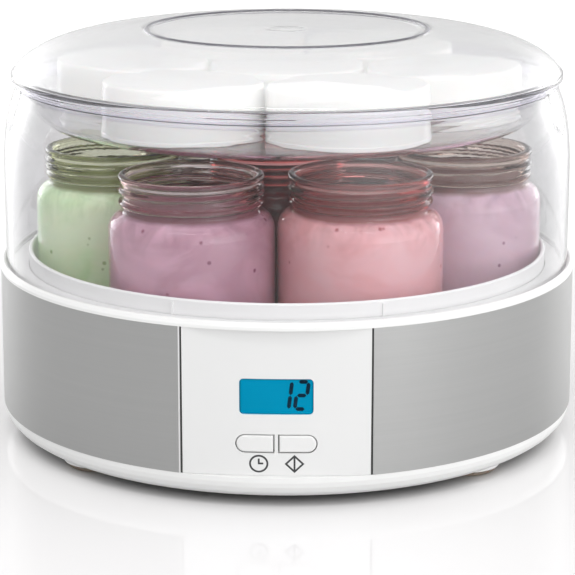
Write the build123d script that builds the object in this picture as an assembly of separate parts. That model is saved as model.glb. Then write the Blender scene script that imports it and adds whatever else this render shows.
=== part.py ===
from build123d import *
import os
from math import sin, cos, radians, sqrt, hypot

os.makedirs("parts", exist_ok=True)

# ---------------------------------------------------------------- dimensions
# Millimetres. Origin on the table under the centre of the round base, +Z up.
# The control fascia faces -Y.

# base drum
R_RIM = 126.3            # widest part of the white rim
Z_RIM = 77.0             # top of the rim lip
Z_DECK = 75.2            # ledge that the clear cover stands on
R_DECK_IN = 114.0        # hole in the deck for the well
R_WALL_IN = 122.9        # inside of the drum wall
R_WALL_TOP = 125.55      # outside of the drum wall under the rim
R_WALL_BOT = 125.95      # outside of the drum wall at its foot
Z_BAND_LO = 13.5         # foot of the drum wall
Z_BAND_HI = 74.0         # underside of the rim
STEEL_T = 0.55           # sheet of the steel wraps
FASCIA_HALF = 17.35      # half angle of the control fascia
REAR_HALF = 12.0         # half angle of the rear inlay
GAP_DEG = 0.30           # joint line between steel and inlays
R_INLAY_OUT = 125.9
R_INLAY_IN = 124.1

# well
R_WELL_OUT = 113.75
R_WELL_IN = 112.0
Z_WELL_LIP = 81.9
Z_WELL_FLOOR = 43.0
Z_PLATE = 44.2           # top of the heating plate, on which the jars stand

# bottom cover and feet
Z_BELLY = 3.5
FOOT_R_POS = 104.0
FOOT_R = 12.8
FOOT_BOSS_R = 14.4
FOOT_ANGLES = (42, 138, 222, 318)
SCREW_R_POS = 112.5
SCREW_ANGLES = (0, 60, 120, 180, 240, 300)

# control fascia
FASCIA_R = 253.9         # the fascia is flatter than the drum
FASCIA_CY = 130.8        # centre of that arc
FASCIA_T = 2.2
LCD_W, LCD_H, LCD_Z, LCD_R = 29.4, 14.7, 46.3, 1.7
BTN_Z, BTN_H = 26.9, 6.9
BOARD_Y = -115.6         # front of the control board
LCD_FACE_Y = -120.2      # face of the display module
BTN_L = (-15.9, -1.15)   # left button, outer and inner end
BTN_RR = (1.15, 15.9)    # right button, inner and outer end
BTN_CLEAR = 0.42
BTN_EDGE = 0.8           # rounding of the front edge of a button
BTN_TRAVEL = 0.8

# clear cover, tray and dome
WALL_T = 2.2
COVER_PTS = [(123.4, 75.22), (123.5, 92.0), (123.5, 118.0), (123.0, 129.0), (121.9, 137.5),
             (120.3, 144.4), (118.5, 149.6), (117.6, 152.6), (117.5, 154.2)]
TRAY_PTS = [(114.9, 154.22), (114.6, 151.5), (113.4, 148.8), (111.8, 146.2), (110.3, 143.6), (108.7, 141.2),
            (106.8, 139.2), (104.6, 137.7), (102.5, 137.0)]
TRAY_T = 1.6
Z_TRAY_BELLY = 137.0
DOME_PTS = [(118.55, 158.6), (117.1, 160.8), (115.0, 162.9), (111.8, 165.2),
            (107.4, 167.6), (101.5, 169.9), (93.6, 172.0), (83.5, 173.75), (72.5, 174.95), (63.2, 175.6)]
DOME_T = 2.0
R_DOME_RIM = 119.45
R_TRAY_RIM = 118.3
BEAD_R, BEAD_Z, BEAD_SEC = 60.9, 175.5, 1.1

# jars
JAR_R = 34.4
JAR_H = 80.0
JAR_WALL = 2.6
YOG_TOP = 65.6           # fill height over the foot of the jar
JARS = {"front_left": (-37.1, -64.0), "front_right": (32.35, -59.8), "side_left": (-75.9, -3.6),
        "side_right": (77.2, -1.4), "centre": (-4.0, -0.1), "back_left": (-40.1, 60.7),
        "back_right": (31.8, 64.1)}
# jar lids, stored in the tray
LID_R = 33.8
LID_H = 23.15
LID_PITCH = 68.1
LID_TURN = -6.55
Z_TRAY_FLOOR = 138.6
LIDS = {"centre": None, "right": 0, "back_right": 1, "back_left": 2, "left": 3, "front_left": 4, "front_right": 5}

made = {}


# ---------------------------------------------------------------- helpers
def face_rz(pts):
    return Plane.XZ * make_face(Polyline(*pts, close=True).edges())


def ring(pts):
    return revolve(face_rz(pts), Axis.Z, 360)


def sector(pts, a0, a1):
    """Turn an (r, z) outline from azimuth a0 to a1, degrees from +X."""
    return Rot(0, 0, a0) * revolve(face_rz(pts), Axis.Z, a1 - a0)


def rect(r0, r1, z0, z1):
    return [(r0, z0), (r1, z0), (r1, z1), (r0, z1)]


def front(a0, a1, pts):
    """Sector measured from the front (-Y), positive to +X."""
    return sector(pts, -90 + a0, -90 + a1)


def box(x0, x1, y0, y1, z0, z1):
    return Pos((x0 + x1) / 2, (y0 + y1) / 2, (z0 + z1) / 2) * Box(x1 - x0, y1 - y0, z1 - z0)


def cyl(x, y, z0, z1, r):
    return Pos(x, y, (z0 + z1) / 2) * Cylinder(r, z1 - z0)


def cyl_y(x, z, y0, y1, r):
    return Pos(x, (y0 + y1) / 2, z) * Rot(90, 0, 0) * Cylinder(r, y1 - y0)


def offset_in(pts, t, sign):
    """Points moved t along the normal of the run through them."""
    out = []
    for i, (r, z) in enumerate(pts):
        a = pts[max(i - 1, 0)]
        b = pts[min(i + 1, len(pts) - 1)]
        dx, dz = b[0] - a[0], b[1] - a[1]
        n = hypot(dx, dz)
        out.append((r - sign * dz / n * t, z + sign * dx / n * t))
    return out


def polar(r, a):
    return r * cos(radians(a)), r * sin(radians(a))


def keep(name, shape):
    solids = shape.solids()
    shape = solids[0] if len(solids) == 1 else Compound(children=list(solids))
    made[name] = shape


def group(name, shapes):
    solids = []
    for s in shapes:
        solids += list(s.solids())
    made[name] = Compound(children=solids)


# ---------------------------------------------------------------- base drum
housing = ring([(R_RIM, Z_BAND_HI), (R_RIM, 75.2), (125.75, 76.5), (125.0, Z_RIM), (124.35, Z_RIM),
                (124.0, 76.6), (124.0, Z_DECK), (R_DECK_IN, Z_DECK), (R_DECK_IN, 72.7),
                (R_WALL_IN, 72.7), (R_WALL_IN, Z_BAND_LO), (R_WALL_BOT, Z_BAND_LO), (R_WALL_TOP, Z_BAND_HI)])
# seats for the two inlays
housing -= front(-FASCIA_HALF, FASCIA_HALF, rect(118, 130, Z_BAND_LO - 1, Z_BAND_HI))
housing -= sector(rect(R_INLAY_IN, 130, Z_BAND_LO - 1, Z_BAND_HI), 90 - REAR_HALF, 90 + REAR_HALF)
# hole for the cord gland
housing -= cyl_y(0, 30.0, 118, 127, 6.5)
# screw columns with ribs to the wall
for a in SCREW_ANGLES:
    x, y = polar(SCREW_R_POS, a)
    column = cyl(x, y, 6.0, 40.0, 3.6)
    rib = Rot(0, 0, a) * box(SCREW_R_POS + 1.0, R_WALL_IN + 0.4, -1.0, 1.0, 18.5, 40.0)
    housing += column + rib
for a in SCREW_ANGLES:
    x, y = polar(SCREW_R_POS, a)
    housing -= cyl(x, y, 5.0, 20.0, 1.5)
keep("base_housing", housing)

liner = ring([(R_WELL_IN, Z_WELL_FLOOR), (R_WELL_IN, 81.2), (112.4, 81.8), (112.9, Z_WELL_LIP), (113.3, 81.75),
              (R_WELL_OUT, 81.2), (R_WELL_OUT, 72.7), (119.5, 72.7), (119.5, 70.6), (R_WELL_OUT, 70.6),
              (R_WELL_OUT, 41.0), (100.0, 41.0), (100.0, Z_WELL_FLOOR)])
# locating ribs outside the lip
for a in (-111.5, -68.5, 68.5, 111.5, 0, 180):
    liner += Rot(0, 0, a) * box(R_WELL_OUT - 0.4, R_WELL_OUT + 0.9, -0.45, 0.45, Z_DECK, 80.6)
for a in (45, 135, 225, 315):
    x, y = polar(103.5, a)
    liner -= cyl(x, y, 40, 44, 1.6)
keep("well_liner", liner)

bottom = ring([(0, Z_BELLY), (117.4, Z_BELLY), (120.2, 4.35), (123.1, 6.4), (125.3, 9.2), (126.1, 11.4),
               (126.3, 13.5), (120.9, 13.5), (120.9, 17.0), (118.9, 17.0), (118.9, 10.4), (117.3, 7.2),
               (116.5, 6.0), (0, 6.0)])
for a in FOOT_ANGLES:
    x, y = polar(FOOT_R_POS, a)
    bottom += cyl(x, y, 2.3, Z_BELLY + 0.5, FOOT_BOSS_R)
for a in FOOT_ANGLES:
    x, y = polar(FOOT_R_POS, a)
    bottom -= cyl(x, y, 1.0, 3.0, FOOT_R + 0.2)
    bottom -= cyl(x, y, 2.0, 5.0, 3.0)
for a in SCREW_ANGLES:
    x, y = polar(SCREW_R_POS, a)
    bottom -= cyl(x, y, 3.0, 7.0, 1.8)
    bottom -= cyl(x, y, 3.0, 5.0, 3.3)
for sx in (-40, 40):
    for sy in (12, 62):
        bottom += cyl(sx, sy, 5.5, 12.0, 3.5)
        bottom -= cyl(sx, sy, 6.5, 12.5, 1.3)
for k in range(-3, 4):
    # ventilation slots
    bottom -= Pos(k * 9.0, -45.0, 4.75) * Box(3.2, 34.0, 4.0)
keep("bottom_cover", bottom)

feet = []
for a in FOOT_ANGLES:
    x, y = polar(FOOT_R_POS, a)
    pad = cyl(x, y, 0.0, 3.0, FOOT_R)
    pad = fillet(pad.edges().filter_by(GeomType.CIRCLE).group_by(Axis.Z)[0], 0.8)
    feet.append(pad + cyl(x, y, 2.8, 4.9, 2.9))
group("rubber_feet", feet)

group("bottom_screws", [cyl(*polar(SCREW_R_POS, a), 3.7, 5.0, 3.0) + cyl(*polar(SCREW_R_POS, a), 4.9, 18.0, 1.45)
                        for a in SCREW_ANGLES])

def wall_r(z):
    return R_WALL_BOT + (R_WALL_TOP - R_WALL_BOT) * (z - Z_BAND_LO) / (Z_BAND_HI - Z_BAND_LO)


z_lo, z_hi = Z_BAND_LO + 0.1, Z_BAND_HI - 0.1
steel = [(wall_r(z_lo) + 0.01, z_lo), (wall_r(z_lo) + STEEL_T, z_lo), (wall_r(z_hi) + STEEL_T, z_hi), (wall_r(z_hi) + 0.01, z_hi)]
keep("steel_wrap_right", sector(steel, -90 + FASCIA_HALF + GAP_DEG, 90 - REAR_HALF - GAP_DEG))
keep("steel_wrap_left", sector(steel, 90 + REAR_HALF + GAP_DEG, 270 - FASCIA_HALF - GAP_DEG))

# dark seals in the two joints between the steel and the control fascia
seal = [(r + (0.0 if k in (0, 3) else -0.27), z) for k, (r, z) in enumerate(steel)]
group("fascia_seals", [front(FASCIA_HALF + 0.01, FASCIA_HALF + GAP_DEG - 0.01, seal),
                       front(-FASCIA_HALF - GAP_DEG + 0.01, -FASCIA_HALF - 0.01, seal)])

rear = sector(rect(R_INLAY_IN, R_INLAY_OUT, Z_BAND_LO + 0.1, Z_BAND_HI - 0.1), 90 - REAR_HALF + 0.1, 90 + REAR_HALF - 0.1)
rear -= cyl_y(0, 30.0, 118, 130, 6.5)
keep("rear_inlay", rear)

gland = cyl_y(0, 30.0, 119.4, 125.9, 6.4) + cyl_y(0, 30.0, 119.4, 122.2, 8.6)
gland -= cyl_y(0, 30.0, 110, 130, 3.6)
keep("cord_gland", gland)


# ---------------------------------------------------------------- control fascia
def half_pill(x_in, x_out, zc, h, y0, y1, grow=0.0):
    """Upright half-stadium block; x_in is the square end, x_out the round end."""
    r = h / 2 + grow
    s = 1 if x_out > x_in else -1
    xc = x_out - s * h / 2
    xi = x_in - s * grow
    block = box(min(xi, xc), max(xi, xc), y0, y1, zc - r, zc + r)
    return block + cyl_y(xc, zc, y0, y1, r)


def shell(r0, r1, z0=0, z1=90):
    return ring(rect(r0, r1, z0, z1))


def arc_slab(r_out, r_in, z0, z1):
    """Ring about the fascia's own centre."""
    return Pos(0, FASCIA_CY, 0) * (Pos(0, 0, (z0 + z1) / 2) * (Cylinder(r_out, z1 - z0) - Cylinder(r_in, z1 - z0)))


z_lo, z_hi = Z_BAND_LO + 0.1, Z_BAND_HI - 0.1
fascia = arc_slab(FASCIA_R, FASCIA_R - FASCIA_T, z_lo, z_hi) & front(-FASCIA_HALF + 0.06, FASCIA_HALF - 0.06, rect(110, 132, z_lo, z_hi))
for sgn in (-1, 1):
    # side lips that hook behind the drum wall
    for r1, b0, b1 in ((124.6, 15.9, 17.2), (122.8, 17.1, 19.4)):
        lo, hi = sorted((sgn * b0, sgn * b1))
        fascia += front(lo, hi, rect(120.9, r1, 16.0, 71.0))
for sx in (-28, 28):
    for bz in (24.0, 60.0):
        fascia += cyl_y(sx, bz, -120.0, BOARD_Y, 3.4)
        fascia -= cyl_y(sx, bz, -119.6, BOARD_Y + 0.5, 1.2)
lcd_cut = Pos(0, -124, LCD_Z) * Rot(90, 0, 0) * extrude(RectangleRounded(LCD_W, LCD_H, LCD_R), 8, both=True)
fascia -= lcd_cut
for x_in, x_out in ((BTN_L[1], BTN_L[0]), (BTN_RR[0], BTN_RR[1])):
    fascia -= half_pill(x_in, x_out, BTN_Z, BTN_H, -130, -118, BTN_CLEAR)
keep("control_fascia", fascia)

window = Pos(0, -124, LCD_Z) * Rot(90, 0, 0) * extrude(RectangleRounded(LCD_W - 0.2, LCD_H - 0.2, LCD_R - 0.1), 8, both=True)
window = window & arc_slab(FASCIA_R - 0.3, FASCIA_R - 1.9, 20, 70)
keep("lcd_window", window)

keep("lcd_module", box(-17.0, 17.0, LCD_FACE_Y, -117.6, LCD_Z - 9.7, LCD_Z + 9.7))

# numerals of the display, leaning seven-segment bars on the face of the module
def seg_bar(x0, z0, x1, z1, w):
    dx, dz = x1 - x0, z1 - z0
    n = hypot(dx, dz)
    ux, uz = dx / n, dz / n
    px, pz = -uz * w / 2, ux * w / 2
    c = w / 2
    pts = [(x0, z0), (x0 + ux * c + px, z0 + uz * c + pz), (x1 - ux * c + px, z1 - uz * c + pz), (x1, z1),
           (x1 - ux * c - px, z1 - uz * c - pz), (x0 + ux * c - px, z0 + uz * c - pz)]
    f = make_face(Polyline(*pts, close=True).edges())
    return Pos(0, LCD_FACE_Y, 0) * extrude(Plane.XZ * f, 0.12)


DIG_W, DIG_H, DIG_T, LEAN = 4.2, 11.2, 1.55, 0.126
DIG_Z = 40.6


def digit(x_left, which, longer=0.0):
    def p(u, v):
        return (x_left + u * DIG_W + v * DIG_H * LEAN, DIG_Z + v * DIG_H)
    runs = {"a": ((0, 1), (1, 1)), "b": ((1, 1), (1, 0.5)), "c": ((1, 0.5), (1, 0)), "d": ((0, 0), (1, 0)),
            "e": ((0, 0.5), (0, 0)), "f": ((0, 1), (0, 0.5)), "g": ((0, 0.5), (1, 0.5))}
    out = []
    for k in which:
        (u0, v0), (u1, v1) = runs[k]
        a, b = p(u0, v0), p(u1, v1)
        n = hypot(b[0] - a[0], b[1] - a[1])
        g = (0.2 - longer) / n
        a2 = (a[0] + (b[0] - a[0]) * g, a[1] + (b[1] - a[1]) * g)
        b2 = (b[0] - (b[0] - a[0]) * g, b[1] - (b[1] - a[1]) * g)
        out.append(seg_bar(*a2, *b2, DIG_T))
    return out


group("lcd_numerals", digit(0.55, "bc", 0.12) + digit(7.15, "abged"))


def button(x_in, x_out):
    cap = half_pill(x_in, x_out, BTN_Z, BTN_H, -130, -119.9) & arc_slab(FASCIA_R + 0.45, 240, 15, 60)
    s = 1 if x_out > x_in else -1
    flange = half_pill(x_in + s * 0.1, x_out + s * 1.0, BTN_Z, BTN_H + 2.0, -120.0, -119.5)
    mid = (x_in + x_out) / 2
    front_edge = [e for e in cap.edges() if all(v.Y < -122.0 for v in e.vertices())]
    cap = fillet(front_edge, BTN_EDGE)
    return cap + flange + cyl_y(mid, BTN_Z, -119.6, -119.3, 1.8), mid


btn_l, mid_l = button(BTN_L[1], BTN_L[0])
btn_r, mid_r = button(BTN_RR[0], BTN_RR[1])
keep("button_timer", btn_l)
keep("button_start", btn_r)

tacts = []
for m in (mid_l, mid_r):
    tacts.append(box(m - 3, m + 3, -118.0, BOARD_Y, BTN_Z - 3, BTN_Z + 3) + cyl_y(m, BTN_Z, -118.4, -117.9, 1.7))
group("tact_switches", tacts)

board = box(-32, 32, BOARD_Y, BOARD_Y + 1.6, 20.5, 63.5)
for sx in (-28, 28):
    for bz in (24.0, 60.0):
        board -= cyl_y(sx, bz, -118, -112, 1.6)
keep("control_board", board)
keep("controller_chip", box(-7, 7, BOARD_Y + 1.6, BOARD_Y + 3.8, 23, 37))
keep("display_carrier", box(-15.5, 15.5, -117.6, BOARD_Y, LCD_Z - 8.5, LCD_Z + 8.5))
group("control_board_screws", [cyl_y(sx, bz, -119.4, BOARD_Y + 1.6, 1.15) + cyl_y(sx, bz, BOARD_Y + 1.6, BOARD_Y + 3.3, 2.6)
                               for sx in (-28, 28) for bz in (24.0, 60.0)])

# ---------------------------------------------------------------- heating
keep("heating_plate", ring([(0, Z_WELL_FLOOR), (111.6, Z_WELL_FLOOR), (111.6, Z_PLATE), (0, Z_PLATE)]))
keep("heater_ring", ring(rect(62, 94, 41.0, 43.0)))
disc = ring(rect(9.0, 106, 38.8, 41.0))
for a in (45, 135, 225, 315):
    disc -= cyl(*polar(103.5, a), 38, 42, 1.6)
keep("insulating_disc", disc)
group("heater_screws", [cyl(*polar(103.5, a), 36.9, 38.8, 3.0) + cyl(*polar(103.5, a), 38.7, 43.0, 1.5)
                        for a in (45, 135, 225, 315)])
keep("thermostat", cyl(0, 0, 34.0, 43.0, 8.0))
keep("thermal_fuse", Pos(30, 0, 36.3) * Rot(0, 90, 0) * Cylinder(2.5, 16))

pboard = box(-46, 46, 6, 68, 12.0, 13.6)
for sx in (-40, 40):
    for sy in (12, 62):
        pboard -= cyl(sx, sy, 11, 15, 1.6)
keep("power_board", pboard)
group("power_board_screws", [cyl(sx, sy, 8.0, 13.7, 1.25) + cyl(sx, sy, 13.6, 15.4, 2.7) for sx in (-40, 40) for sy in (12, 62)])
core = box(-30, 4, 20, 54, 13.6, 31.6)
core = core - box(-22, -4, 12, 62, 17.6, 27.6)
keep("transformer_core", core)
keep("transformer_coil", box(-21.8, -4.2, 15, 59, 17.8, 27.4))
keep("relay", box(14, 33, 18, 33, 13.6, 28.6))
keep("mains_terminal", box(12, 36, 48, 60, 13.6, 24.6))

# ---------------------------------------------------------------- clear cover
c_out = COVER_PTS
c_in = offset_in(c_out, WALL_T, 1)
c_in[0] = (c_out[0][0] - WALL_T, c_out[0][1])
c_in[-1] = (c_out[-1][0] - WALL_T, c_out[-1][1])
edges = [Spline(*c_out), Line(c_out[-1], c_in[-1]), Spline(*c_in[::-1]), Line(c_in[0], c_out[0])]
cover = revolve(Plane.XZ * make_face(edges), Axis.Z, 360)
# finger grips below the joint, at the left and the right
for a in (-90 - 74, -90 + 74):
    pad = sector([(117.0, 136.0), (122.1, 136.0), (121.9, 141.0), (121.0, 149.0), (120.4, 153.2), (117.0, 153.2)], a - 4.9, a + 4.9)
    hollow = sector([(112.0, 130.0), (120.5, 138.0), (119.9, 144.0), (118.9, 149.6), (118.5, 151.6), (112.0, 151.6)], a - 4.0, a + 4.0)
    tool = revolve(Plane.XZ * make_face([Spline(*c_in), Line(c_in[-1], (60, c_in[-1][1])),
                                          Line((60, c_in[-1][1]), (60, c_in[0][1])), Line((60, c_in[0][1]), c_in[0])]), Axis.Z, 360)
    cover += pad - hollow - tool
keep("cover_wall", cover)

t_out = TRAY_PTS
t_in = offset_in(t_out, TRAY_T, -1)
t_in[0] = (t_out[0][0] - TRAY_T, 155.8)
t_in[-1] = (t_out[-1][0] - 0.2, Z_TRAY_FLOOR)
edges = [Line((0, Z_TRAY_BELLY), t_out[-1]), Spline(*t_out[::-1]), Line(t_out[0], (R_TRAY_RIM, 154.22)), Line((R_TRAY_RIM, 154.22), (R_TRAY_RIM, 155.8)),
         Line((R_TRAY_RIM, 155.8), t_in[0]), Spline(*t_in), Line(t_in[-1], (0, Z_TRAY_FLOOR)), Line((0, Z_TRAY_FLOOR), (0, Z_TRAY_BELLY))]
keep("lid_tray", revolve(Plane.XZ * make_face(edges), Axis.Z, 360))

d_out = DOME_PTS
d_in = offset_in(d_out, DOME_T, 1)
d_in[0] = (116.3, 155.84)
d_in[-1] = (d_out[-1][0], d_out[-1][1] - DOME_T)
edges = [Line((0, 173.2), (58.0, 173.2)), Line((58.0, 173.2), d_in[-1]), Spline(*d_in[::-1]),
         Line(d_in[0], (R_DOME_RIM - 0.5, 155.84)), Line((R_DOME_RIM - 0.5, 155.84), (R_DOME_RIM, 156.3)),
         Line((R_DOME_RIM, 156.3), (R_DOME_RIM, 157.9)), Line((R_DOME_RIM, 157.9), (R_DOME_RIM - 0.6, 158.4)),
         Line((R_DOME_RIM - 0.6, 158.4), d_out[0]),
         Spline(*d_out), Line(d_out[-1], (59.0, 175.2)), Line((59.0, 175.2), (0, 175.2)), Line((0, 175.2), (0, 173.2))]
dome = revolve(Plane.XZ * make_face(edges), Axis.Z, 360)
dome += Pos(0, 0, BEAD_Z) * Torus(BEAD_R, BEAD_SEC)
dome += ring([(0, 175.0), (8.7, 175.0), (8.7, 175.45), (8.3, 175.55), (0, 175.55)])
keep("dome_lid", dome)

# ---------------------------------------------------------------- jars
Z0 = Z_PLATE + 0.02


def jar_outline():
    out = [(0, 0.6), (24.0, 0.6), (25.5, 0.0), (31.2, 0.0), (33.3, 0.9), (34.3, 3.0), (JAR_R, 5.0), (JAR_R, 57.6),
           (34.1, 59.4), (33.0, 61.4), (31.2, 63.2), (29.4, 64.3), (28.6, 65.4), (28.6, 67.4), (29.9, 68.0),
           (29.9, 69.6), (28.7, 70.2), (28.7, 71.6), (30.3, 72.3), (30.3, 73.1), (28.7, 73.8), (28.7, 74.9),
           (30.3, 75.6), (30.3, 76.4), (28.8, 76.9), (29.4, 77.5), (30.0, 78.3), (29.9, 79.4), (29.1, JAR_H), (27.3, JAR_H),
           (26.4, 79.4), (26.2, 78.0), (26.2, 65.5), (27.0, 63.4), (29.0, 61.4), (31.0, 59.0), (JAR_R - JAR_WALL, 57.0),
           (JAR_R - JAR_WALL, 7.0), (30.6, 4.6), (28.0, 3.9), (0, 3.9)]
    return out


def yogurt_outline():
    g = 0.06
    return [(0, 3.9 + g), (28.0 - g, 3.9 + g), (30.6 - g, 4.6 + g), (JAR_R - JAR_WALL - g, 7.0), (JAR_R - JAR_WALL - g, 57.0),
            (31.0 - g, 59.0), (29.0 - g, 61.4), (27.0 - g, 63.4), (26.2 - g, 65.5), (26.2 - g, YOG_TOP), (0, YOG_TOP)]


jar = ring(jar_outline())
yog = ring(yogurt_outline())
for name, (x, y) in JARS.items():
    keep("jar_" + name, Pos(x, y, Z0) * jar)
    keep("yogurt_" + name, Pos(x, y, Z0) * yog)

lid = ring([(33.2, 0.0), (LID_R, 0.5), (LID_R, 1.8), (33.5, 2.3), (33.3, LID_H - 3.2), (32.9, LID_H - 1.5), (31.9, LID_H - 0.45),
            (30.2, LID_H), (0, LID_H), (0, LID_H - 1.8), (29.8, LID_H - 1.8), (31.3, LID_H - 3.4), (31.6, 2.4), (31.8, 0.0)])
# thread ridges inside the skirt
for zz in (5.0, 8.4):
    lid += ring([(31.7, zz), (30.9, zz + 0.5), (30.9, zz + 1.0), (31.7, zz + 1.5)])
for name, k in LIDS.items():
    x, y = (0, 0) if k is None else polar(LID_PITCH, LID_TURN + 60 * k)
    keep("jar_lid_" + name, Pos(x, y, Z_TRAY_FLOOR + 0.02) * lid)

for name, shape in made.items():
    export_step(shape, "parts/" + name + ".step")
print(len(made), "nodes")
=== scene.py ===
import bpy, bmesh, math
from math import sin, cos, pi, radians, hypot, atan2
from mathutils import Vector, Matrix, noise


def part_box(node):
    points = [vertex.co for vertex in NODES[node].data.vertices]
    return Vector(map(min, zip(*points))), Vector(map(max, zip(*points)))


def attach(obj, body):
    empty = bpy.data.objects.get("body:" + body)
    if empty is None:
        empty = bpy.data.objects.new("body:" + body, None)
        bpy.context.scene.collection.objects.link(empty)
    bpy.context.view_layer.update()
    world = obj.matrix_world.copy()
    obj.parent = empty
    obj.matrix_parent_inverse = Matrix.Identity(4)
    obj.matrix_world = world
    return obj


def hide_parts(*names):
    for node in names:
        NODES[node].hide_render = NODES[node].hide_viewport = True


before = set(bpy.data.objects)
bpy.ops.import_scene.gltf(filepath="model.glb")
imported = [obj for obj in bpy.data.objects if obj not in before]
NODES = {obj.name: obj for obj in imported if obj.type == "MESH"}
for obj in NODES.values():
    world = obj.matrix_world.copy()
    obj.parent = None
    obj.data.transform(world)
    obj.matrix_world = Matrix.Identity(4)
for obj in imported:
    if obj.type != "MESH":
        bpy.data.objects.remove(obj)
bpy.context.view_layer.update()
MM = 0.001


# ------------------------------------------------------------------ small node helpers
class Mat:
    def __init__(self, name):
        self.m = bpy.data.materials.new(name)
        self.m.use_nodes = True
        self.nt = self.m.node_tree
        self.nt.nodes.clear()
        self.out = self.nt.nodes.new("ShaderNodeOutputMaterial")
        self._c = None

    def n(self, kind, props=None, **ins):
        nd = self.nt.nodes.new(kind)
        for k, v in (props or {}).items():
            setattr(nd, k, v)
        for k, v in ins.items():
            self.put(nd, k.replace("_", " "), v)
        return nd

    def put(self, nd, key, v):
        sock = nd.inputs[int(key[1:])] if key[:1] == "#" else nd.inputs[key]
        if isinstance(v, bpy.types.NodeSocket):
            self.nt.links.new(v, sock)
        else:
            sock.default_value = v

    def coord(self):
        if self._c is None:
            self._c = self.nt.nodes.new("ShaderNodeTexCoord")
        return self._c.outputs["Object"]

    def mapped(self, scale=(1, 1, 1), loc=(0, 0, 0)):
        mp = self.nt.nodes.new("ShaderNodeMapping")
        self.nt.links.new(self.coord(), mp.inputs["Vector"])
        mp.inputs["Scale"].default_value = scale
        mp.inputs["Location"].default_value = loc
        return mp.outputs["Vector"]

    def noise(self, scale, detail=3.0, rough=0.5, vec=None, dist=0.0):
        nd = self.nt.nodes.new("ShaderNodeTexNoise")
        self.nt.links.new(vec if vec is not None else self.coord(), nd.inputs["Vector"])
        nd.inputs["Scale"].default_value = scale
        nd.inputs["Detail"].default_value = detail
        nd.inputs["Roughness"].default_value = rough
        nd.inputs["Distortion"].default_value = dist
        return nd.outputs["Fac"]

    def ramp(self, fac, stops):
        nd = self.nt.nodes.new("ShaderNodeValToRGB")
        self.nt.links.new(fac, nd.inputs["Fac"])
        els = nd.color_ramp.elements
        while len(els) > 1:
            els.remove(els[-1])
        els[0].position = stops[0][0]
        els[0].color = (*stops[0][1], 1)
        for p, c in stops[1:]:
            e = els.new(p)
            e.color = (*c, 1)
        return nd.outputs["Color"]

    def span(self, fac, a, b, c, d):
        nd = self.nt.nodes.new("ShaderNodeMapRange")
        self.nt.links.new(fac, nd.inputs["Value"])
        for k, v in zip(("From Min", "From Max", "To Min", "To Max"), (a, b, c, d)):
            nd.inputs[k].default_value = v
        return nd.outputs["Result"]

    def math(self, op, a, b=0.0, c=0.0):
        nd = self.nt.nodes.new("ShaderNodeMath")
        nd.operation = op
        for i, v in enumerate((a, b, c)):
            self.put(nd, "#%d" % i, v)
        return nd.outputs[0]

    def mix(self, fac, a, b, mode="MIX"):
        nd = self.nt.nodes.new("ShaderNodeMix")
        nd.data_type = "RGBA"
        nd.blend_type = mode
        self.put(nd, "#0", fac)
        self.put(nd, "#6", a if isinstance(a, bpy.types.NodeSocket) else (*a, 1))
        self.put(nd, "#7", b if isinstance(b, bpy.types.NodeSocket) else (*b, 1))
        return nd.outputs[2]

    def bump(self, height, strength, distance, normal=None):
        nd = self.nt.nodes.new("ShaderNodeBump")
        self.nt.links.new(height, nd.inputs["Height"])
        nd.inputs["Strength"].default_value = strength
        nd.inputs["Distance"].default_value = distance
        if normal is not None:
            self.nt.links.new(normal, nd.inputs["Normal"])
        return nd.outputs["Normal"]

    def xyz(self):
        nd = self.nt.nodes.new("ShaderNodeSeparateXYZ")
        self.nt.links.new(self.coord(), nd.inputs[0])
        return nd.outputs

    def principled(self, **ins):
        nd = self.nt.nodes.new("ShaderNodeBsdfPrincipled")
        for k, v in ins.items():
            k = k.replace("_", " ")
            if isinstance(v, tuple) and len(v) == 3 and k != "Subsurface Radius":
                v = (*v, 1)
            self.put(nd, k, v)
        self.nt.links.new(nd.outputs[0], self.out.inputs["Surface"])
        return nd

    def lamps_pass(self, shader, tint):
        """Rays from lamps, and light scattered between surfaces, go straight through, so that what is behind the glass is lit."""
        lp = self.nt.nodes.new("ShaderNodeLightPath")
        tr = self.nt.nodes.new("ShaderNodeBsdfTransparent")
        tr.inputs["Color"].default_value = (*tint, 1)
        for kind in ("Is Shadow Ray", "Is Diffuse Ray"):
            mx = self.nt.nodes.new("ShaderNodeMixShader")
            self.nt.links.new(lp.outputs[kind], mx.inputs[0])
            self.nt.links.new(shader, mx.inputs[1])
            self.nt.links.new(tr.outputs[0], mx.inputs[2])
            shader = mx.outputs[0]
        self.nt.links.new(shader, self.out.inputs["Surface"])


# ------------------------------------------------------------------ materials
def white_plastic(name, base=(0.85, 0.85, 0.845), rough=0.30, grain=0.05, sss=0.0):
    m = Mat(name)
    tone = m.ramp(m.noise(14.0, 3.0), [(0.3, tuple(c * 0.985 for c in base)), (0.7, tuple(min(1, c * 1.012) for c in base))])
    r = m.span(m.noise(40.0, 2.0), 0.3, 0.7, rough - 0.02, rough + 0.03)
    nrm = m.bump(m.noise(1400.0, 2.0), grain, 0.00002)
    m.principled(Base_Color=tone, Roughness=r, Normal=nrm, IOR=1.5, Subsurface_Weight=sss, Subsurface_Scale=0.002)
    return m.m


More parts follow.
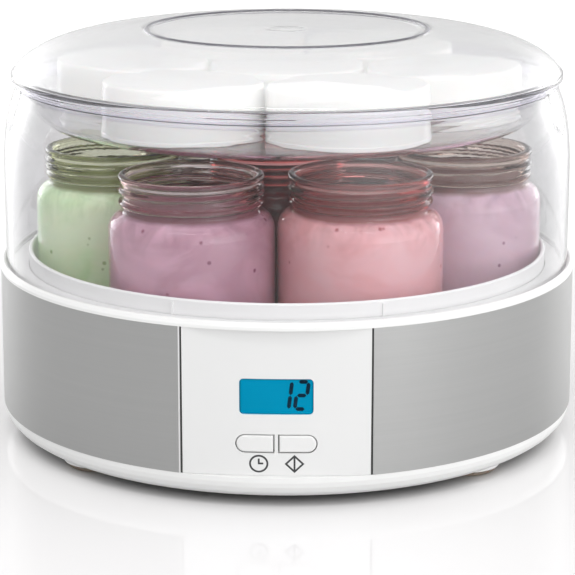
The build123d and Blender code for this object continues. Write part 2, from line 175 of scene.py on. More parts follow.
def brushed_steel(name):
    m = Mat(name)
    streak = m.noise(1.0, 6.0, 0.65, m.mapped((9.0, 9.0, 5200.0)))
    wide = m.noise(1.0, 3.0, 0.5, m.mapped((2.5, 2.5, 420.0)))
    both = m.math("ADD", m.math("MULTIPLY", streak, 0.65), m.math("MULTIPLY", wide, 0.35))
    tone = m.ramp(both, [(0.30, (0.412, 0.412, 0.410)), (0.50, (0.434, 0.434, 0.431)), (0.72, (0.456, 0.456, 0.453))])
    # painted highlight: a thin bright line along the folded edge of the sheet beside the fascia
    x, y, z = m.xyz()
    turn = m.math("MULTIPLY", m.math("ARCTAN2", x, m.math("MULTIPLY", y, -1.0)), 180 / pi)
    painted_fold_highlight = m.math("MULTIPLY", m.span(turn, -17.98, -17.90, 0.0, 1.0), m.math("LESS_THAN", turn, 0.0))
    tone = m.mix(painted_fold_highlight, tone, (0.93, 0.93, 0.93))
    r = m.span(both, 0.25, 0.75, 0.30, 0.42)
    nrm = m.bump(streak, 0.10, 0.00003)
    tg = m.n("ShaderNodeTangent", {"direction_type": "RADIAL", "axis": "Z"})
    m.principled(Base_Color=tone, Metallic=1.0, Roughness=r, Normal=nrm, Anisotropic=0.55, Tangent=tg.outputs[0])
    return m.m


def plain(name, base, rough=0.5, metallic=0.0, scale=120.0, vary=0.12, bump=0.15, dist=0.0001, bump_scale=900.0, **more):
    m = Mat(name)
    lo = tuple(c * (1 - vary) for c in base)
    hi = tuple(min(1.0, c * (1 + vary)) for c in base)
    tone = m.ramp(m.noise(scale, 4.0), [(0.3, lo), (0.7, hi)])
    r = m.span(m.noise(scale * 1.7, 3.0), 0.3, 0.7, max(0.02, rough - 0.08), min(1.0, rough + 0.08))
    nrm = m.bump(m.noise(bump_scale, 3.0), bump, dist)
    m.principled(Base_Color=tone, Roughness=r, Metallic=metallic, Normal=nrm, **more)
    return m.m


def clear_plastic(name, tint=(0.968, 0.967, 0.973), absorb=(0.63, 0.622, 0.645), density=40.0, rough=0.015, haze=0.0, edgeways_shade=None, ior=1.49):
    m = Mat(name)
    nrm = m.bump(m.noise(22.0, 2.0), 0.10, 0.0006)
    if edgeways_shade is not None:
        # painted shade: the wall is tinted greyer where it is looked at edgeways
        lw = m.n("ShaderNodeLayerWeight")
        lw.inputs["Blend"].default_value = 0.5
        tint = m.ramp(lw.outputs["Facing"], [(0.41, tint), (0.54, tuple(c * (1 - (1 - edgeways_shade) * 0.45) for c in tint)),
                                             (0.66, tuple(c * (1 - (1 - edgeways_shade) * 0.9) for c in tint)), (0.86, tuple(c * edgeways_shade for c in tint))])
    p = m.principled(Base_Color=tint, Roughness=rough, IOR=ior, Transmission_Weight=1.0 - haze, Normal=nrm)
    m.lamps_pass(p.outputs[0], (1.0, 1.0, 1.0))
    ab = m.n("ShaderNodeVolumeAbsorption")
    ab.inputs["Color"].default_value = (*absorb, 1)
    ab.inputs["Density"].default_value = density
    m.nt.links.new(ab.outputs[0], m.out.inputs["Volume"])
    return m.m


def jar_glass(name, density=90.0, tint_and_painted_shade=(0.46, 0.36, 0.24)):
    m = Mat(name)
    wob = m.noise(55.0, 3.0, 0.55, m.mapped((1, 1, 0.55)), 0.6)
    nrm = m.bump(wob, 0.35, 0.0009)
    p = m.principled(Base_Color=(0.975, 0.985, 0.972), Roughness=0.0, IOR=1.50, Transmission_Weight=1.0, Normal=nrm)
    m.lamps_pass(p.outputs[0], (1.0, 1.0, 0.995))
    # absorption colour: the glass's own tint, and for the necks and some jars painted shade
    ab = m.n("ShaderNodeVolumeAbsorption")
    ab.inputs["Color"].default_value = (*tint_and_painted_shade, 1)
    ab.inputs["Density"].default_value = density
    m.nt.links.new(ab.outputs[0], m.out.inputs["Volume"])
    return m.m


def yogurt(name, base, deep, fleck, flecks=0.8, top=None):
    m = Mat(name)
    swirl = m.noise(26.0, 4.0, 0.55, None, 1.2)
    tone = m.ramp(swirl, [(0.38, deep), (0.49, base), (0.64, tuple(min(1.0, c * 1.09 + 0.01) for c in base))])
    v = m.n("ShaderNodeTexVoronoi")
    m.nt.links.new(m.coord(), v.inputs["Vector"])
    v.inputs["Scale"].default_value = 170.0
    spot = m.span(v.outputs["Distance"], 0.09, 0.19, 1.0, 0.0)
    pick = m.span(v.outputs["Color"], 0.66, 0.70, 0.0, flecks)
    mask = m.math("MULTIPLY", spot, pick)
    col = m.mix(mask, tone, fleck)
    # darker blotches near the top of the fill, placed by noise
    zz = m.math("ADD", m.xyz()[2], m.math("MULTIPLY", m.noise(60.0, 4.0, 0.6), 0.016))
    darker_blotches = m.math("MULTIPLY", m.span(zz, 0.101, 0.113, 0.0, 1.0), m.span(m.noise(75.0, 4.0, 0.6, m.mapped((1, 1, 0.6)), 1.5), 0.44, 0.64, 0.0, 0.42))
    col = m.mix(darker_blotches, col, tuple(0.45 * c + 0.25 * t for c, t in zip(deep, fleck)))
    # painted shade: the top surface of the fill is coloured darker and more saturated, as the neck shades it
    if top is not None:
        level = m.span(m.math("ADD", m.xyz()[2], m.math("MULTIPLY", m.noise(90.0, 3.0), 0.0025)), 0.1080, 0.1100, 0.0, 1.0)
        col = m.mix(level, col, top)
    nrm = m.bump(m.noise(170.0, 4.0), 0.25, 0.0004)
    m.principled(Base_Color=col, Roughness=0.34, Normal=nrm, Subsurface_Weight=0.35,
                 Subsurface_Radius=(1.0, 0.55, 0.45), Subsurface_Scale=0.003, IOR=1.38)
    return m.m


WHITE = white_plastic("white_plastic")
WHITE_WELL = white_plastic("well_plastic", (0.92, 0.92, 0.917), 0.34)
WHITE_FASCIA = white_plastic("fascia_plastic", (0.765, 0.765, 0.763), 0.36, 0.03)
WHITE_BTN = white_plastic("button_plastic", (0.775, 0.775, 0.77), 0.28, 0.02)
WHITE_LID = white_plastic("cap_plastic", (0.845, 0.842, 0.825), 0.24, 0.03, 0.15)
# painted shade: the cap tops take a darker copy of the cap white than their sides
LID_TOP_PAINTED_SHADE = white_plastic("cap_plastic_top_painted_shade", (0.69, 0.69, 0.687), 0.32, 0.06, 0.15)
STEEL = brushed_steel("brushed_steel")
RUBBER = plain("foot_rubber", (0.24, 0.195, 0.155), 0.62, bump=0.3, Subsurface_Weight=0.3, Subsurface_Scale=0.002)
BLACK_RUBBER = plain("gland_rubber", (0.03, 0.03, 0.03), 0.6)
SCREW = plain("screw_steel", (0.52, 0.52, 0.53), 0.34, 1.0)
BOARD = plain("board_green", (0.035, 0.17, 0.07), 0.42, scale=300.0, vary=0.2)
CHIP = plain("chip_black", (0.02, 0.02, 0.022), 0.5)
ALU = plain("plate_aluminium", (0.78, 0.78, 0.79), 0.38, 1.0, scale=30.0, vary=0.05)
HEATER = plain("heater_silicone", (0.42, 0.12, 0.05), 0.6)
MICA = plain("mica_board", (0.56, 0.50, 0.38), 0.75, scale=60.0)
COPPER = plain("copper_winding", (0.60, 0.26, 0.11), 0.35, 1.0, bump=0.6, bump_scale=1500.0)
CORE = plain("core_laminations", (0.20, 0.20, 0.21), 0.45, 0.8)
RELAY = plain("relay_blue", (0.02, 0.06, 0.28), 0.4)
TERMINAL = plain("terminal_grey", (0.20, 0.25, 0.24), 0.5)
CLEAR = clear_plastic("clear_plastic")
CLEAR_WALL = clear_plastic("clear_plastic_wall", density=70.0, edgeways_shade=0.62, ior=1.36)
# edge faces and the bead take darker lilac tints: the plastic's own tint where it is thick, and painted shade for the
# dark lines refraction shows there
CLEAR_EDGE = clear_plastic("clear_plastic_edge", (0.885, 0.873, 0.94))
CLEAR_BEAD = clear_plastic("clear_plastic_bead", (0.81, 0.795, 0.975))
CLEAR_GRIP = clear_plastic("clear_plastic_grip", (0.95, 0.95, 0.96), rough=0.24, haze=0.14)
CLEAR_DOME = clear_plastic("clear_plastic_dome", (0.984, 0.983, 0.986), rough=0.035, haze=0.14, density=26.0, ior=1.42)
# per-jar body glass density, though all jars are one glass: painted shade (denser glass for the centre jar) and painted
# light (thinner glass for side_left, which the tray shades)
BODY_LIGHT_AND_SHADE_DENSITY = {"side_left": 40.0, "front_right": 65.0, "side_right": 80.0, "centre": 160.0}
# neck glass per jar, coloured and darkened like that jar's fill: painted shade of the fill and the far wall seen
# through the neck
NECK_SHADE_DENSITY = {"front_left": 130.0, "front_right": 440.0, "side_right": 280.0, "side_left": 270.0, "centre": 420.0}
NECK_PAINTED_SHADE = {"front_left": (0.68, 0.36, 0.36), "front_right": (0.80, 0.30, 0.28), "side_left": (0.52, 0.54, 0.20), "side_right": (0.60, 0.43, 0.34),
         "centre": (0.86, 0.10, 0.10), "back_left": (0.55, 0.45, 0.34), "back_right": (0.62, 0.26, 0.26)}


def display_face():
    m = Mat("display_backlight")
    x, y, z = m.xyz()
    gx = m.span(x, -0.017, 0.017, 0.0, 1.0)
    gz = m.span(z, 0.036, 0.056, 0.0, 1.0)
    g = m.math("ADD", m.math("MULTIPLY", gx, 0.55), m.math("MULTIPLY", gz, 0.45))
    g2 = m.math("ADD", g, m.math("MULTIPLY", m.noise(140.0, 2.0), 0.08))
    col = m.ramp(g2, [(0.0, (0.0005, 0.250, 0.435)), (0.5, (0.0005, 0.275, 0.475)), (1.0, (0.001, 0.262, 0.455))])
    # painted shade: a darker band just inside the edge of the window, the inner shadow of the window's frame on the
    # display
    ex = m.math("SUBTRACT", m.math("ABSOLUTE", x), 0.01375)
    ez = m.math("SUBTRACT", m.math("ABSOLUTE", m.math("SUBTRACT", z, 0.0456)), 0.0064)
    rim = m.span(m.math("MAXIMUM", ex, ez), 0.0, 0.0008, 0.0, 0.85)
    col = m.mix(rim, col, (0.0005, 0.090, 0.135))
    m.principled(Base_Color=(0.0, 0.012, 0.02), Roughness=0.5, Specular_IOR_Level=0.0, Emission_Color=col, Emission_Strength=1.0)
    return m.m


def display_ink():
    m = Mat("display_ink")
    tone = m.ramp(m.noise(900.0, 2.0), [(0.3, (0.004, 0.018, 0.035)), (0.7, (0.006, 0.026, 0.048))])
    m.principled(Base_Color=tone, Roughness=0.5, Specular_IOR_Level=0.05)
    return m.m


def window_clear():
    m = Mat("display_window")
    nrm = m.bump(m.noise(60.0, 1.0), 0.05, 0.0002)
    p = m.principled(Base_Color=(0.97, 0.99, 1.0), Roughness=0.03, IOR=1.07, Transmission_Weight=1.0, Normal=nrm)
    m.lamps_pass(p.outputs[0], (0.98, 0.985, 0.99))
    return m.m


def print_ink():
    m = Mat("icon_print")
    tone = m.ramp(m.noise(1500.0, 2.0), [(0.3, (0.030, 0.030, 0.033)), (0.7, (0.048, 0.048, 0.050))])
    m.principled(Base_Color=tone, Roughness=0.45)
    return m.m


LCD, INK, PANE, PRINT = display_face(), display_ink(), window_clear(), print_ink()

CAD_MATS = {
    "base_housing": WHITE, "well_liner": WHITE_WELL, "bottom_cover": WHITE, "rubber_feet": RUBBER, "bottom_screws": SCREW,
    "steel_wrap_right": STEEL, "steel_wrap_left": STEEL, "rear_inlay": WHITE_FASCIA, "cord_gland": BLACK_RUBBER, "fascia_seals": BLACK_RUBBER,
    "control_fascia": WHITE_FASCIA, "lcd_window": PANE, "lcd_module": LCD, "lcd_numerals": INK,
    "button_timer": WHITE_BTN, "button_start": WHITE_BTN, "tact_switches": CHIP, "control_board": BOARD,
    "controller_chip": CHIP, "display_carrier": CHIP, "control_board_screws": SCREW, "heating_plate": ALU,
    "heater_ring": HEATER, "insulating_disc": MICA, "heater_screws": SCREW, "thermostat": ALU, "thermal_fuse": SCREW,
    "power_board": BOARD, "power_board_screws": SCREW, "transformer_core": CORE, "transformer_coil": COPPER,
    "relay": RELAY, "mains_terminal": TERMINAL,
}
for node, material in CAD_MATS.items():
    ob = NODES[node]
    if not ob.material_slots:
        ob.data.materials.append(material)
    for s in ob.material_slots:
        s.material = material


# ------------------------------------------------------------------ mesh helpers
def catmull(pts, n=6):
    out = []
    for i in range(len(pts) - 1):
        p0 = pts[max(i - 1, 0)]
        p1, p2 = pts[i], pts[i + 1]
        p3 = pts[min(i + 2, len(pts) - 1)]
        for k in range(n):
            t = k / n
            out.append(tuple(0.5 * ((2 * p1[j]) + (-p0[j] + p2[j]) * t + (2 * p0[j] - 5 * p1[j] + 4 * p2[j] - p3[j]) * t * t
                                    + (-p0[j] + 3 * p1[j] - 3 * p2[j] + p3[j]) * t ** 3) for j in range(2)))
    out.append(tuple(pts[-1][:2]))
    return out


def offset_path(pts, t, sign):
    out = []
    for i, (r, z) in enumerate(pts):
        a, b = pts[max(i - 1, 0)], pts[min(i + 1, len(pts) - 1)]
        dx, dz = b[0] - a[0], b[1] - a[1]
        n = hypot(dx, dz)
        out.append((r - sign * dz / n * t, z + sign * dx / n * t))
    return out


def rounded(pts, n=4):
    """Closed outline; a third number on a point is the radius of its corner."""
    out, k = [], len(pts)
    for i, p in enumerate(pts):
        rad = p[2] if len(p) > 2 else 0.0
        if rad <= 0:
            out.append((p[0], p[1]))
            continue
        a, b = pts[i - 1], pts[(i + 1) % k]
        u = Vector((a[0] - p[0], a[1] - p[1]))
        v = Vector((b[0] - p[0], b[1] - p[1]))
        lu, lv = u.length, v.length
        u.normalize(), v.normalize()
        ang = u.angle(v)
        t = min(rad / max(math.tan(ang / 2), 1e-4), 0.47 * lu, 0.47 * lv)
        s, e, c = Vector(p[:2]) + u * t, Vector(p[:2]) + v * t, Vector(p[:2])
        for j in range(n + 1):
            w = j / n
            q = s * (1 - w) ** 2 + c * 2 * w * (1 - w) + e * w * w
            out.append((q.x, q.y))
    return out


def finish_mesh(name, bm, material, sharp=32.0):
    bmesh.ops.remove_doubles(bm, verts=bm.verts, dist=1e-7)
    bmesh.ops.recalc_face_normals(bm, faces=bm.faces)
    me = bpy.data.meshes.new(name)
    bm.to_mesh(me)
    bm.free()
    me.shade_smooth()
    me.set_sharp_from_angle(angle=radians(sharp))
    me.materials.append(material)
    ob = bpy.data.objects.new(name, me)
    bpy.context.scene.collection.objects.link(ob)
    return ob


def lathe(name, outline, material, seg=192, at=(0.0, 0.0, 0.0), move=None, sharp=32.0, angles=None, second=None, second_where=None):
    """Closed solid of revolution, mm in, metres out. move(theta, r, z, i) may shift a point.
    Faces whose middle passes second_where(r, z) take the second material."""
    bm = bmesh.new()
    rings = []
    if angles is None:
        angles = [2 * pi * k / seg for k in range(seg)]
    seg = len(angles)
    for i, (r, z) in enumerate(outline):
        if r < 1e-6:
            rings.append([bm.verts.new(((at[0]) * MM, at[1] * MM, (z + at[2]) * MM))])
            continue
        ring = []
        for th in angles:
            rr, zz = (r, z) if move is None else move(th, r, z, i)
            ring.append(bm.verts.new(((at[0] + rr * cos(th)) * MM, (at[1] + rr * sin(th)) * MM, (zz + at[2]) * MM)))
        rings.append(ring)
    m = len(rings)
    for i in range(m):
        a, b = rings[i], rings[(i + 1) % m]
        if len(a) == 1 and len(b) == 1:
            continue
        p, q = outline[i], outline[(i + 1) % m]
        idx = 1 if second is not None and second_where((p[0] + q[0]) / 2, (p[1] + q[1]) / 2) else 0
        for k in range(seg):
            j = (k + 1) % seg
            if len(a) == 1:
                f = bm.faces.new((a[0], b[k], b[j]))
            elif len(b) == 1:
                f = bm.faces.new((a[k], a[j], b[0]))
            else:
                f = bm.faces.new((a[k], a[j], b[j], b[k]))
            f.material_index = idx
    ob = finish_mesh(name, bm, material, sharp)
    if second is not None:
        ob.data.materials.append(second)
    return ob


def piece(ob, body, *nodes, slot=None):
    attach(ob, body)
    if nodes:
        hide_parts(*nodes)
    return ob


# ------------------------------------------------------------------ clear cover
COVER_PTS = [(123.4, 75.22), (123.5, 92.0), (123.5, 118.0), (123.0, 129.0), (121.9, 137.5),
             (120.3, 144.4), (118.5, 149.6), (117.6, 152.6), (117.5, 154.2)]
c_out = catmull(COVER_PTS, 10)
c_in = offset_path(c_out, 2.2, 1)
c_in = [(r, min(z, 154.2)) for r, z in c_in]
c_in[0] = (c_out[0][0] - 2.2, c_out[0][1])
c_in[-1] = (c_out[-1][0] - 2.2, c_out[-1][1])

# two finger grips: a raised U on the outside of the wall, near the top, at each side
GRIP_AT = (radians(-90 + 74), radians(-90 - 74))
GRIP_W, GRIP_TOP, GRIP_MID, GRIP_LOW = 8.6, 153.0, 146.0, 137.0


def grip_angles():
    out, th = [], -pi
    while th < pi - 1e-6:
        out.append(th)
        near = min(abs((th - g + pi) % (2 * pi) - pi) for g in GRIP_AT)
        th += radians(0.17) if near < radians(6.2) else radians(1.5)
    return out


def grip_move(th, r, z, i):
    if i >= len(c_out) or not 134.0 < z < 153.9:
        return r, z
    best = grip_dist(th, r, z)
    if best < 2.0:
        r += 0.24 * (0.5 + 0.5 * cos(pi * best / 2.0))
    return r, z


def grip_dist(th, r, z):
    best = 1e9
    for g in GRIP_AT:
        u = abs(((th - g + pi) % (2 * pi) - pi) * r)
        if u > 14:
            continue
        if z >= GRIP_MID:
            d = abs(u - GRIP_W)
        else:
            e = hypot(u / GRIP_W, (z - GRIP_MID) / (GRIP_MID - GRIP_LOW))
            d = abs(e - 1) * (GRIP_W + GRIP_MID - GRIP_LOW) / 2
        best = min(best, d)
    return best


def edge_zone(r, z):
    return z > 150.5 and r > 112


# finer rows where the grips are
rows = []
for p, q in zip(c_out, c_out[1:]):
    rows.append(p)
    n = 4 if 134.0 < (p[1] + q[1]) / 2 < 154.0 else 1
    rows += [(p[0] + (q[0] - p[0]) * k / n, p[1] + (q[1] - p[1]) * k / n) for k in range(1, n)]
rows.append(c_out[-1])
c_out = rows
cover = lathe("clear_cover", c_out + c_in[::-1], CLEAR_WALL, 256, (0, 0, 0), grip_move, 40.0, grip_angles(), CLEAR_EDGE,
              lambda r, z: z > 153.0 or z < 75.6)
cover.data.materials.append(CLEAR_GRIP)
for poly in cover.data.polygons:
    c = poly.center / MM
    if 134.0 < c.z < 153.9 and grip_dist(atan2(c.y, c.x), hypot(c.x, c.y), c.z) < 1.7:
        poly.material_index = 2
piece(cover, "cover", "cover_wall", slot="clear_plastic")

TRAY_R = 118.3
TRAY_PTS = [(114.9, 154.22), (114.6, 151.5), (113.4, 148.8), (111.8, 146.2), (110.3, 143.6), (108.7, 141.2),
            (106.8, 139.2), (104.6, 137.7), (102.5, 137.0)]
t_out = catmull(TRAY_PTS, 5)
t_in = offset_path(t_out, 1.6, -1)
t_in[0] = (t_out[0][0] - 1.6, 155.8)
t_in[-1] = (t_out[-1][0] - 0.2, 138.6)
tray_line = ([(0, 137.0), (60, 137.0), (101.6, 137.0), (102.1, 137.0)] + t_out[::-1]
             + [(115.2, 154.22), (TRAY_R - 0.6, 154.22), (TRAY_R - 0.2, 154.3), (TRAY_R, 154.55), (TRAY_R, 155.45), (TRAY_R - 0.2, 155.7),
                (TRAY_R - 0.6, 155.8), (113.8, 155.8)] + t_in + [(101.8, 138.6), (101.3, 138.6), (60, 138.6), (0, 138.6)])
tray = lathe("lid_tray_clear", tray_line, CLEAR, 256, second=CLEAR_EDGE, second_where=edge_zone)
piece(tray, "tray", "lid_tray", slot="clear_plastic")

DOME_R = 119.45
DOME_PTS = [(118.55, 158.6), (117.1, 160.8), (115.0, 162.9), (111.8, 165.2),
            (107.4, 167.6), (101.5, 169.9), (93.6, 172.0), (83.5, 173.75), (72.5, 174.95), (63.2, 175.6)]
d_out = catmull(DOME_PTS, 6)
d_in = offset_path(d_out, 2.0, 1)
d_in[0] = (116.4, 157.6)
bead = [(60.9 + 1.25 * cos(radians(a)), 175.45 + 0.7 * sin(radians(a)) ** 1.6) for a in range(0, 181, 12)]
rim = [(116.3, 155.84), (118.9, 155.84), (DOME_R - 0.15, 156.0), (DOME_R, 156.3), (DOME_R, 157.9), (DOME_R - 0.2, 158.25), (118.8, 158.4)]
dome_line = ([(0, 173.2), (40.0, 173.2), (56.0, 173.2), (56.6, 173.2), (57.4, 173.22)] + d_in[::-1] + rim
             + d_out + bead + [(59.2, 175.2), (58.6, 175.2), (40.0, 175.2), (9.6, 175.2), (9.0, 175.2), (8.75, 175.23), (8.4, 175.33), (8.1, 175.36),
                               (7.7, 175.33), (7.3, 175.28), (6.6, 175.25), (0, 175.25)])
dome = lathe("dome_lid_clear", dome_line, CLEAR_DOME, 256, second=CLEAR_EDGE,
             second_where=lambda r, z: z < 158.5 and r > 112)
dome.data.materials.append(CLEAR_BEAD)
for poly in dome.data.polygons:
    c = poly.center / MM
    if 59.6 < hypot(c.x, c.y) < 62.2 and c.z > 175.3:
        poly.material_index = 2
piece(dome, "dome", "dome_lid", slot="clear_plastic")


# ------------------------------------------------------------------ jars and yogurt
def jar_outline():
    base = [(0, 0.9), (20.0, 0.7), (24.0, 0.5), (25.6, 0.05, 0.5), (31.0, 0.0, 1.2), (34.15, 2.2, 2.6), (34.35, 5.0), (34.4, 10.0),
            (34.4, 30.0), (34.4, 52.0), (34.35, 57.0), (34.1, 59.2), (33.4, 61.0), (32.2, 62.5), (30.8, 63.6), (29.5, 64.4),
            (28.75, 65.3), (28.6, 66.2), (28.65, 66.9), (29.4, 67.4), (29.85, 68.0), (29.95, 68.7), (29.6, 69.3), (29.0, 69.8), (28.7, 70.3)]
    n0 = 14
    base += [(28.7, 70.3 + 0.36 * i) for i in range(1, n0 + 1)]
    base += [(28.75, 75.8), (28.8, 76.4), (29.1, 76.9), (29.6, 77.4), (29.9, 78.0), (30.05, 78.7), (29.9, 79.4), (29.4, 79.8), (28.6, 79.98),
             (27.7, 79.95), (27.0, 79.6), (26.6, 79.0), (26.45, 78.0), (26.3, 75.0), (26.2, 70.0), (26.25, 66.4), (26.7, 64.6), (27.8, 63.1),
             (29.2, 61.8), (30.5, 60.2), (31.4, 58.4), (31.75, 56.0), (31.8, 50.0), (31.8, 30.0), (31.8, 10.0), (31.5, 6.8), (30.4, 4.8),
             (28.0, 4.1), (20.0, 4.3), (10.0, 4.9), (0, 5.2)]
    return rounded(base, 3)


def make_jar(name, cx, cy, z0, turn, seed, body, neck):
    def move(th, r, z, i):
        zz = z
        if 69.9 < z < 76.3 and r > 27.9:
            # one helical ridge of about one and three quarter turns
            a = (th + turn) % (2 * pi)
            best = 0.0
            for k in range(-1, 3):
                u = a / (2 * pi) + k
                if -0.02 < u < 1.45:
                    zc = 71.2 + u * 3.1
                    d = abs(z - zc)
                    taper = min(1.0, (u + 0.02) / 0.10, (1.45 - u) / 0.10)
                    h = 1.55 * taper * max(0.0, 1 - (d / 1.2) ** 2)
                    best = max(best, h)
            r = min(r + best, 30.3)
        w = noise.noise(Vector((cos(th) * 1.6 + seed, sin(th) * 1.6, z * 0.055)))
        if 3.0 < z < 66.0 and r < 33.0 and r > 20:
            r += 0.16 * w
        elif 66.0 < z < 79.0:
            r += (0.07 if r > 27.9 else 0.18) * w
        return min(r, 34.4), zz
    return lathe(name, jar_outline(), body, 120, (cx, cy, z0), move, 50.0, None, neck, lambda r, z: z > 67.2)


def make_yogurt(name, cx, cy, z0, material, seed, level):
    lap = 0.35
    line = [(0, 3.95), (20, 3.9), (28.2, 3.75), (30.9, 4.5), (31.8 + lap, 6.9), (31.8 + lap, 12.0), (31.8 + lap, 32.0), (31.8 + lap, 50.0),
            (31.75 + lap, 56.2), (31.4 + lap, 58.5), (30.6 + lap, 60.4), (29.3 + lap, 62.0), (27.9 + lap, 63.3), (26.8 + lap, 64.7), (26.3 + lap, 66.4)]
    top = [(26.4 + lap * 0.9, level + 0.5), (25.9, level + 0.25), (25.0, level + 0.02), (23.6, level - 0.12)]
    top += [(22.0 - 2.0 * k, level - 0.15) for k in range(11)]
    def move(th, r, z, i):
        if z > level - 0.3 and r < 25.5:
            n1 = noise.noise(Vector((r * cos(th) * 0.09 + seed, r * sin(th) * 0.09, 3.1)))
            n2 = noise.noise(Vector((r * cos(th) * 0.33 + seed, r * sin(th) * 0.33, 7.7)))
            z += 0.45 * n1 + 0.12 * n2
        return r, z
    return lathe(name, line + top + [(0, level - 0.15)], material, 96, (cx, cy, z0), move, 60.0)


# per jar: base, deep swirl, fleck, and the darker painted-shade colour of the fill's top
YOGURTS = {
    "front_left": ((0.785, 0.485, 0.670), (0.670, 0.385, 0.545), (0.26, 0.04, 0.13), (0.30, 0.10, 0.15)),
    "front_right": ((0.990, 0.540, 0.615), (0.920, 0.450, 0.510), (0.48, 0.05, 0.07), (0.38, 0.08, 0.09)),
    "side_left": ((0.790, 0.990, 0.660), (0.640, 0.900, 0.500), (0.30, 0.45, 0.14), (0.32, 0.36, 0.14)),
    "side_right": ((0.920, 0.700, 0.880), (0.830, 0.600, 0.780), (0.36, 0.12, 0.30), (0.40, 0.24, 0.26)),
    "centre": ((0.260, 0.010, 0.020), (0.170, 0.006, 0.012), (0.03, 0.00, 0.01), (0.10, 0.005, 0.010)),
    "back_left": ((0.420, 0.200, 0.170), (0.340, 0.140, 0.110), (0.25, 0.10, 0.06), (0.22, 0.08, 0.05)),
    "back_right": ((0.300, 0.040, 0.055), (0.220, 0.025, 0.035), (0.10, 0.01, 0.02), (0.16, 0.02, 0.02)),
}
TURN = {"front_left": 1.1, "front_right": 2.7, "side_left": 4.2, "side_right": 0.4, "centre": 3.3, "back_left": 5.5, "back_right": 2.0}
for i, (key, (base, deep, fleck, top)) in enumerate(YOGURTS.items()):
    lo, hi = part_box("jar_" + key)
    cx, cy, z0 = (lo[0] + hi[0]) / 2 / MM, (lo[1] + hi[1]) / 2 / MM, lo[2] / MM
    # the centre jar's glass gets a dark red tint as painted shade, side_left's a green tint; the rest keep the glass's
    # own brownish tint
    wall = jar_glass("jar_glass_" + key, BODY_LIGHT_AND_SHADE_DENSITY.get(key, 95.0), {"centre": (0.80, 0.15, 0.16), "side_left": (0.42, 0.56, 0.34)}.get(key, (0.46, 0.36, 0.24)))
    neck = jar_glass("jar_glass_neck_" + key, NECK_SHADE_DENSITY.get(key, 300.0), NECK_PAINTED_SHADE[key])
    jar = make_jar("jar_%s_glass" % key, cx, cy, z0, TURN[key], 3.7 * i, wall, neck)
    piece(jar, "jar_" + key, "jar_" + key, slot="jar_glass")
    ym = yogurt("yogurt_%s_mat" % key, base, deep, fleck, top=top)
    y = make_yogurt("yogurt_%s_fill" % key, cx, cy, z0, ym, 5.1 * i, 67.4)
    piece(y, "jar_" + key, "yogurt_" + key)

# ------------------------------------------------------------------ jar lids in the tray
LH = 23.15
cap_line = rounded([(0, LH), (28.5, LH), (33.15, LH, 3.0), (33.35, LH - 8.0), (33.5, 3.0), (33.55, 2.4, 0.3), (33.8, 2.0, 0.3), (33.8, 0.3, 0.3),
                    (33.4, 0.0, 0.2), (32.0, 0.0, 0.4), (31.7, 0.8, 0.4), (31.6, 4.6), (31.0, 5.2, 0.4), (31.0, 6.0, 0.4), (31.6, 6.6), (31.6, 8.2),
                    (31.0, 8.8, 0.4), (31.0, 9.6, 0.4), (31.6, 10.2), (31.4, LH - 3.4, 1.2), (29.8, LH - 1.8, 1.0), (0, LH - 1.8)], 4)
for key in ("centre", "right", "back_right", "back_left", "left", "front_left", "front_right"):
    node = "jar_lid_" + key
    lo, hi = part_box(node)
    cx, cy = (lo[0] + hi[0]) / 2 / MM, (lo[1] + hi[1]) / 2 / MM
    # the top faces of each cap take the darker painted-shade white
    cap = lathe("cap_" + key, cap_line, WHITE_LID, 128, (cx, cy, lo[2] / MM), None, 40.0, None, LID_TOP_PAINTED_SHADE, lambda r, z: z > LH - 0.4)
    piece(cap, node, node, slot="lid_white")


# ------------------------------------------------------------------ icons printed on the fascia
FR, FCY = 253.9, 130.8


def on_fascia(x, z, lift=0.0):
    return ((x) * MM, (FCY - math.sqrt((FR + lift) ** 2 - x * x)) * MM, z * MM)


def print_strip(name, paths, width, thick=0.05):
    """Flat printed lines: paths are lists of (x, z), closed when the last point repeats the first."""
    bm = bmesh.new()
    for path in paths:
        closed = path[0] == path[-1]
        pts = path[:-1] if closed else path
        n = len(pts)
        quads = []
        for i, (x, z) in enumerate(pts):
            a = pts[i - 1] if (i > 0 or closed) else pts[i]
            b = pts[(i + 1) % n] if (i < n - 1 or closed) else pts[i]
            d1 = Vector((x - a[0], z - a[1]))
            d2 = Vector((b[0] - x, b[1] - z))
            if d1.length < 1e-9: d1 = d2
            if d2.length < 1e-9: d2 = d1
            d1.normalize(), d2.normalize()
            t = (d1 + d2)
            t.normalize()
            nx, nz = -t.y, t.x
            k = width / 2 / max(0.35, abs(-d1.y * nx + d1.x * nz))
            ring = []
            for s, lift in ((1, 0.0), (1, thick), (-1, thick), (-1, 0.0)):
                ring.append(bm.verts.new(on_fascia(x + nx * k * s, z + nz * k * s, lift)))
            quads.append(ring)
        for i in range(n if closed else n - 1):
            p, q = quads[i], quads[(i + 1) % n]
            for j in range(4):
                bm.faces.new((p[j], p[(j + 1) % 4], q[(j + 1) % 4], q[j]))
        if not closed:
            bm.faces.new(quads[0])
            bm.faces.new(quads[-1][::-1])
    return finish_mesh(name, bm, PRINT, 30.0)


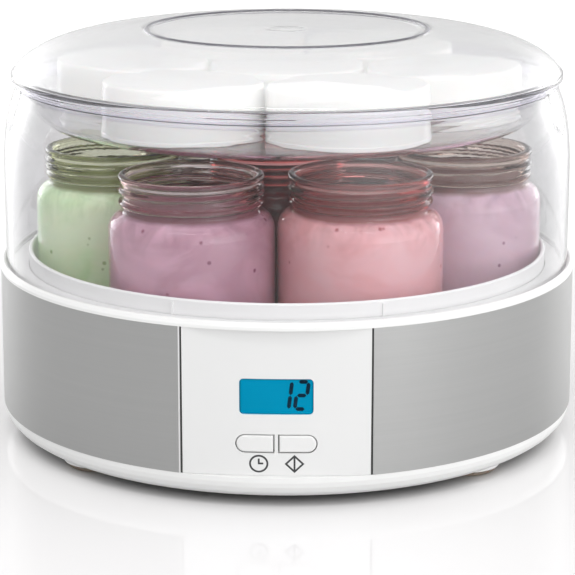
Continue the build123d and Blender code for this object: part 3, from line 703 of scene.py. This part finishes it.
ICON_Z = 18.6
circle = [(-7.0 + 3.45 * cos(2 * pi * k / 64), ICON_Z + 3.3 * sin(2 * pi * k / 64)) for k in range(64)]
circle.append(circle[0])
clock = print_strip("icon_clock", [circle, [(-7.0, ICON_Z + 2.1), (-7.0, ICON_Z + 0.1), (-5.2, ICON_Z + 0.1)]], 0.74)
piece(clock, "base")
dx, dz = 3.4, 3.25
rhomb = [(7.2, ICON_Z + dz), (7.2 + dx, ICON_Z), (7.2, ICON_Z - dz), (7.2 - dx, ICON_Z), (7.2, ICON_Z + dz)]
start = print_strip("icon_start", [rhomb, [(7.2, ICON_Z + dz - 0.3), (7.2, ICON_Z - dz + 0.3)]], 0.74)
piece(start, "base")

# ------------------------------------------------------------------ stage: floor, lights, camera
bm = bmesh.new()
for x, y in ((-6, -4), (6, -4), (6, 8), (-6, 8)):
    bm.verts.new((x, y, 0.0))
bm.faces.new(bm.verts)
fm = Mat("floor_white")
tone = fm.ramp(fm.noise(3.0, 2.0), [(0.3, (0.835, 0.825, 0.828)), (0.7, (0.85, 0.840, 0.843))])
lp = fm.n("ShaderNodeLightPath")
tone = fm.mix(lp.outputs["Is Camera Ray"], (0.72, 0.72, 0.72), tone)
fx, fy, fz = fm.xyz()
away = fm.math("SQRT", fm.math("ADD", fm.math("MULTIPLY", fx, fx), fm.math("MULTIPLY", fy, fy)))
# painted contact shadow: the floor is painted near black under the base, fading out towards its edge
tone = fm.mix(fm.span(away, 0.1035, 0.122, 0.0, 1.0), (0.07, 0.068, 0.065), tone)
glow = fm.math("MULTIPLY", fm.span(away, 0.26, 0.62, 0.0, 0.50), lp.outputs["Is Camera Ray"])
fm.principled(Base_Color=tone, Roughness=0.07, IOR=1.45, Emission_Color=(1.0, 1.0, 1.0), Emission_Strength=glow)
floor = finish_mesh("floor", bm, fm.m)


def area(name, loc, target, size, power, color=(1, 1, 1)):
    d = bpy.data.lights.new(name, "AREA")
    d.shape = "RECTANGLE"
    d.size, d.size_y = size
    d.energy = power
    d.color = color
    o = bpy.data.objects.new(name, d)
    o.location = loc
    o.rotation_euler = (Vector(target) - Vector(loc)).to_track_quat("-Z", "Y").to_euler()
    bpy.context.scene.collection.objects.link(o)
    return o


area("softbox_top", (-0.1, 0.1, 1.6), (0, 0, 0.1), (1.5, 1.0), 6.4)
area("softbox_front", (-0.12, -0.85, 1.45), (0, 0, 0.1), (1.2, 0.045), 3.8)

w = bpy.data.worlds.new("studio")
bpy.context.scene.world = w
w.use_nodes = True
wn = w.node_tree
wn.nodes.clear()
wo = wn.nodes.new("ShaderNodeOutputWorld")
bg = wn.nodes.new("ShaderNodeBackground")
tc = wn.nodes.new("ShaderNodeTexCoord")


def wmath(op, x, y):
    nd = wn.nodes.new("ShaderNodeMath")
    nd.operation = op
    for i, v in enumerate((x, y)):
        if isinstance(v, bpy.types.NodeSocket):
            wn.links.new(v, nd.inputs[i])
        else:
            nd.inputs[i].default_value = v
    return nd.outputs[0]


def lobe(az, el, power, amount):
    """A soft bright patch of sky; az is measured from -Y towards +X, in degrees."""
    a, e = radians(az), radians(el)
    nd = wn.nodes.new("ShaderNodeVectorMath")
    nd.operation = "DOT_PRODUCT"
    wn.links.new(tc.outputs["Generated"], nd.inputs[0])
    nd.inputs[1].default_value = (sin(a) * cos(e), -cos(a) * cos(e), sin(e))
    return wmath("MULTIPLY", wmath("POWER", wmath("MAXIMUM", nd.outputs["Value"], 0.0), power), amount)


sky = wmath("ADD", lobe(38, 4, 12.0, 2.8), 0.66)
for item in ((143, 4, 26.0, 4.4), (-143, 4, 26.0, 4.4), (85, 10, 6.0, 1.05), (-70, 35, 6.0, 0.20), (0, 45, 5.0, 0.45)):
    sky = wmath("ADD", sky, lobe(*item))
wn.links.new(sky, bg.inputs["Strength"])
bg.inputs["Color"].default_value = (1.0, 1.0, 1.0, 1)
wn.links.new(bg.outputs[0], wo.inputs["Surface"])

cam = bpy.data.cameras.new("camera")
cam.sensor_width = 36.0
cam.lens = 137.6
cam.shift_x = 0.0012
cam.clip_start, cam.clip_end = 0.02, 60.0
co = bpy.data.objects.new("camera", cam)
co.location = (0.0323, -0.9499, 0.3009)
co.rotation_euler = (radians(75.75), 0.0, radians(1.95))
bpy.context.scene.collection.objects.link(co)
bpy.context.scene.camera = co

sc = bpy.context.scene
sc.view_settings.view_transform = "Standard"
sc.view_settings.look = "None"
sc.cycles.max_bounces = 24
sc.cycles.transmission_bounces = 24
sc.cycles.transparent_max_bounces = 32
sc.cycles.glossy_bounces = 6
sc.cycles.diffuse_bounces = 4
